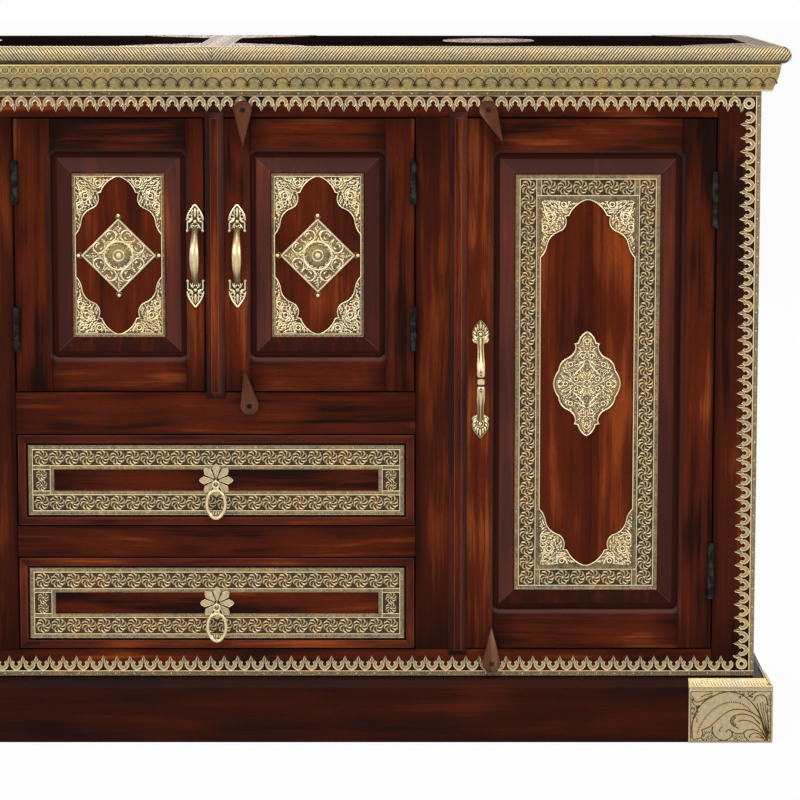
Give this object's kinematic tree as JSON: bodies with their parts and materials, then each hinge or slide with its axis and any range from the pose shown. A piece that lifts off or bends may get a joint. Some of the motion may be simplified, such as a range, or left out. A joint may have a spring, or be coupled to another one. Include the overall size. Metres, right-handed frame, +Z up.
{
  "type": "sideboard",
  "caption": "Long sideboard with tall side cupboards, small cupboard doors over drawers, turn buttons, ring pulls, a plinth and embossed brass over dark hardwood.",
  "frame": {"origin": "on the floor, under the middle of the top", "axes": "+X to the right along the length, +Y from the front to the back, +Z up"},
  "size_m": [1.45, 0.405, 0.895],
  "materials": {
    "case_wood": "polished sheesham",
    "dark_wood": "dark polished sheesham",
    "inside_wood": "unpolished hardwood",
    "button_wood": "worn bare wood",
    "sheet_brass": "antique embossed brass",
    "cast_brass": "antique cast brass",
    "black_iron": "blackened iron"
  },
  "bodies": {
    "carcass": {"plinth": "dark_wood", "plinth_caps": "sheet_brass", "side_left": "case_wood", "side_right": "case_wood", "partitions": "inside_wood", "base_board": "inside_wood", "back_panel": "dark_wood", "top_board": "dark_wood", "top_rope": "sheet_brass", "top_inlay": "sheet_brass", "cornice": "sheet_brass", "shelves": "inside_wood", "cupboard_floors": "inside_wood", "drawer_guides": "inside_wood", "rail_top": "case_wood", "rail_middle": "case_wood", "rail_drawer": "case_wood", "rail_bottom": "case_wood", "stiles_outer": "case_wood", "stiles_mid": "case_wood", "fringe": "sheet_brass", "hinge_frame_halves": "black_iron"},
    "door_small_left": {"small_left_frame": "case_wood", "small_left_panel": "case_wood", "small_left_brass": "sheet_brass", "small_left_handle": "cast_brass", "small_left_leaves": "black_iron"},
    "door_small_right": {"small_right_frame": "case_wood", "small_right_panel": "case_wood", "small_right_brass": "sheet_brass", "small_right_handle": "cast_brass", "small_right_leaves": "black_iron", "small_right_strip": "case_wood"},
    "door_tall_left": {"tall_left_frame": "case_wood", "tall_left_panel": "case_wood", "tall_left_brass": "sheet_brass", "tall_left_handle": "cast_brass", "tall_left_leaves": "black_iron", "tall_left_strip": "case_wood"},
    "door_tall_right": {"tall_right_frame": "case_wood", "tall_right_panel": "case_wood", "tall_right_brass": "sheet_brass", "tall_right_handle": "cast_brass", "tall_right_leaves": "black_iron", "tall_right_strip": "case_wood"},
    "drawer_upper": {"drawer_upper_front": "case_wood", "drawer_upper_box": "inside_wood", "drawer_upper_brass": "sheet_brass"},
    "drawer_lower": {"drawer_lower_front": "case_wood", "drawer_lower_box": "inside_wood", "drawer_lower_brass": "sheet_brass"},
    "ring_upper": {"drawer_upper_ring": "cast_brass"},
    "ring_lower": {"drawer_lower_ring": "cast_brass"},
    "turn_small_top": {"button_small_top": "button_wood"},
    "turn_small_bottom": {"button_small_bottom": "button_wood"},
    "turn_left_top": {"button_left_top": "button_wood"},
    "turn_left_bottom": {"button_left_bottom": "button_wood"},
    "turn_right_top": {"button_right_top": "button_wood"},
    "turn_right_bottom": {"button_right_bottom": "button_wood"}
  },
  "joints": [
    {"name": "small_left_door_hinge", "type": "hinge", "parent": "carcass", "child": "door_small_left", "pos_m": [-0.2525, -0.1738, 0.6285], "axis": [0, 0, -1], "range_deg": [0, 100]},
    {"name": "small_right_door_hinge", "type": "hinge", "parent": "carcass", "child": "door_small_right", "pos_m": [0.2525, -0.1738, 0.6285], "axis": [0, 0, 1], "range_deg": [0, 100]},
    {"name": "tall_left_door_hinge", "type": "hinge", "parent": "carcass", "child": "door_tall_left", "pos_m": [-0.6345, -0.1738, 0.46075], "axis": [0, 0, -1], "range_deg": [0, 105]},
    {"name": "tall_right_door_hinge", "type": "hinge", "parent": "carcass", "child": "door_tall_right", "pos_m": [0.6345, -0.1738, 0.46075], "axis": [0, 0, 1], "range_deg": [0, 105]},
    {"name": "upper_drawer_slide", "type": "slide", "parent": "carcass", "child": "drawer_upper", "axis": [0, -1, 0], "range_m": [0, 0.25]},
    {"name": "lower_drawer_slide", "type": "slide", "parent": "carcass", "child": "drawer_lower", "axis": [0, -1, 0], "range_m": [0, 0.25]},
    {"name": "upper_ring_swing", "type": "hinge", "parent": "drawer_upper", "child": "ring_upper", "pos_m": [0, -0.177, 0.3385], "axis": [-1, 0, 0], "range_deg": [0, 85]},
    {"name": "lower_ring_swing", "type": "hinge", "parent": "drawer_lower", "child": "ring_lower", "pos_m": [0, -0.177, 0.17775], "axis": [-1, 0, 0], "range_deg": [0, 85]},
    {"name": "small_top_button_turn", "type": "hinge", "parent": "door_small_right", "child": "turn_small_top", "pos_m": [0.037, -0.175, 0.8145], "axis": [0, -1, 0], "range_deg": [0, 95]},
    {"name": "small_bottom_button_turn", "type": "hinge", "parent": "door_small_right", "child": "turn_small_bottom", "pos_m": [0.0435, -0.175, 0.436], "axis": [0, 1, 0], "range_deg": [0, 95]},
    {"name": "left_top_button_turn", "type": "hinge", "parent": "door_tall_left", "child": "turn_left_top", "pos_m": [-0.347, -0.175, 0.8145], "axis": [0, 1, 0], "range_deg": [-20, 70]},
    {"name": "left_bottom_button_turn", "type": "hinge", "parent": "door_tall_left", "child": "turn_left_bottom", "pos_m": [-0.3535, -0.175, 0.1005], "axis": [0, -1, 0], "range_deg": [0, 95]},
    {"name": "right_top_button_turn", "type": "hinge", "parent": "door_tall_right", "child": "turn_right_top", "pos_m": [0.347, -0.175, 0.8145], "axis": [0, -1, 0], "range_deg": [-20, 70]},
    {"name": "right_bottom_button_turn", "type": "hinge", "parent": "door_tall_right", "child": "turn_right_bottom", "pos_m": [0.3535, -0.175, 0.1005], "axis": [0, 1, 0], "range_deg": [0, 95]}
  ]
}
